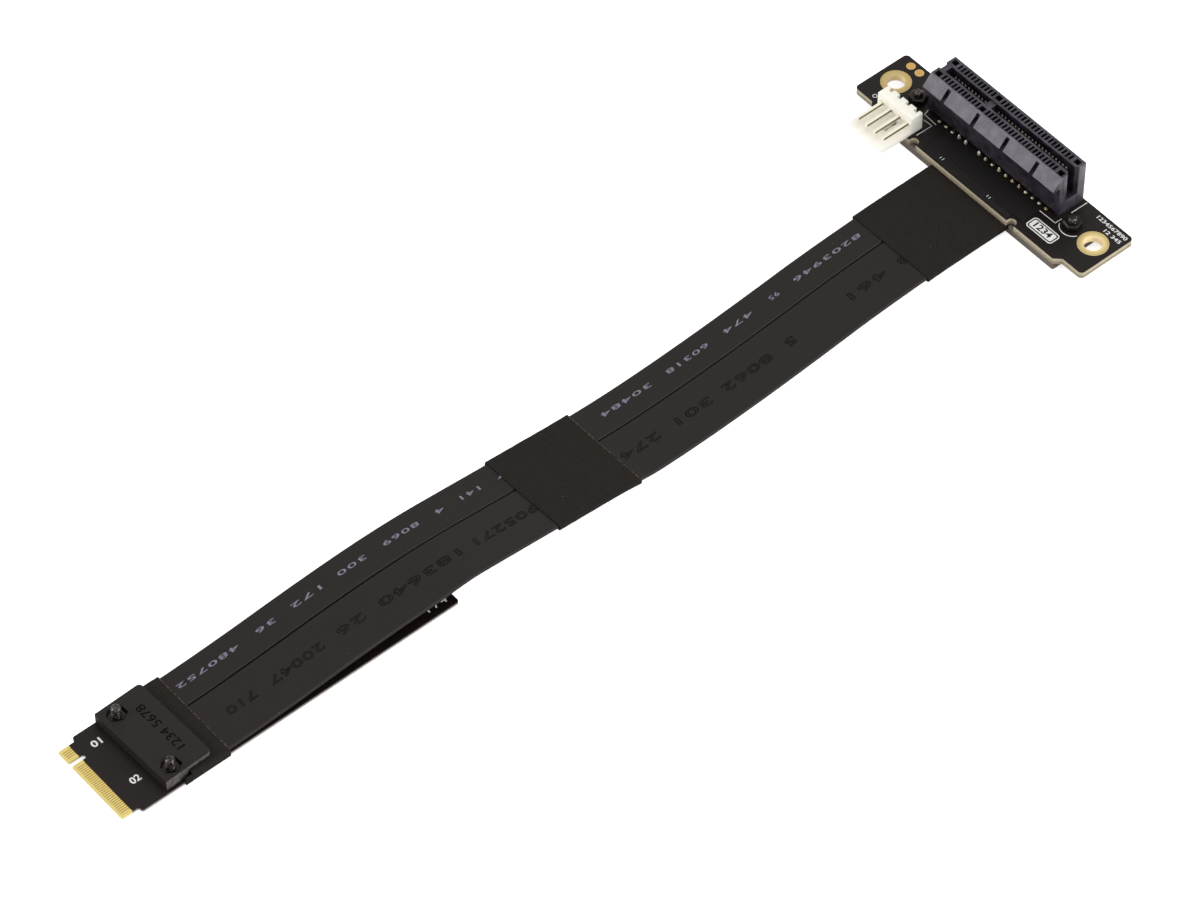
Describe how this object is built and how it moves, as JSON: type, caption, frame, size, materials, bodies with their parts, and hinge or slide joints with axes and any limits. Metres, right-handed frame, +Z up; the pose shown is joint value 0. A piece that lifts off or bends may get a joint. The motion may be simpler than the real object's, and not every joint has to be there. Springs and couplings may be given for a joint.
{
  "type": "nvme adapter card",
  "caption": "Flat-cable riser that joins an M.2 NVMe socket to an open-ended PCI Express x4 slot, with a power header beside the slot.",
  "frame": {"origin": "on the resting surface, under the centre of the rigid pieces' box", "axes": "+X from the M.2 contact edge to the riser board, +Y to the card's notched side, +Z up"},
  "size_m": [0.2416, 0.0682, 0.0149],
  "materials": {
    "solder_mask": "satin black solder mask on glass-epoxy laminate, pale cut edges",
    "gold": "gold plating over copper",
    "tinned_copper": "tinned copper wire",
    "moulded_black": "fine matt moulded plastic",
    "black_steel": "black oxide steel",
    "cloth_tape": "black adhesive cloth tape",
    "ribbon_jacket": "soft satin black jacket",
    "insulating_film": "black polyester film",
    "slot_plastic": "semi-gloss filled thermoplastic, slightly violet black",
    "white_nylon": "natural white nylon",
    "tin": "bright tin plate",
    "cover_plastic": "matt black moulded plastic"
  },
  "bodies": {
    "root": {"m2_board": "solder_mask", "m2_contacts_top": "gold", "m2_contacts_bottom": "gold", "m2_end_ring": "gold", "m2_cable_pads": "gold", "m2_end_conductors": "tinned_copper", "m2_clamp_cover": "moulded_black", "m2_clamp_nuts": "black_steel", "m2_clamp_screws": "black_steel", "m2_tape_wrap": "cloth_tape", "ribbon_left": "ribbon_jacket", "ribbon_right": "ribbon_jacket", "mid_tape_wrap": "cloth_tape", "riser_tape_wrap": "cloth_tape", "riser_end_conductors": "tinned_copper", "riser_cable_pads": "gold", "riser_board": "solder_mask", "riser_mount_rings": "gold", "riser_test_pads": "gold", "riser_top_film": "insulating_film", "slot_housing": "slot_plastic", "slot_contacts_front": "gold", "slot_contacts_back": "gold", "power_header_housing": "white_nylon", "power_header_pins": "tin", "riser_bottom_cover": "cover_plastic", "riser_cover_screws": "black_steel", "riser_cover_nuts": "black_steel"}
  },
  "joints": []
}
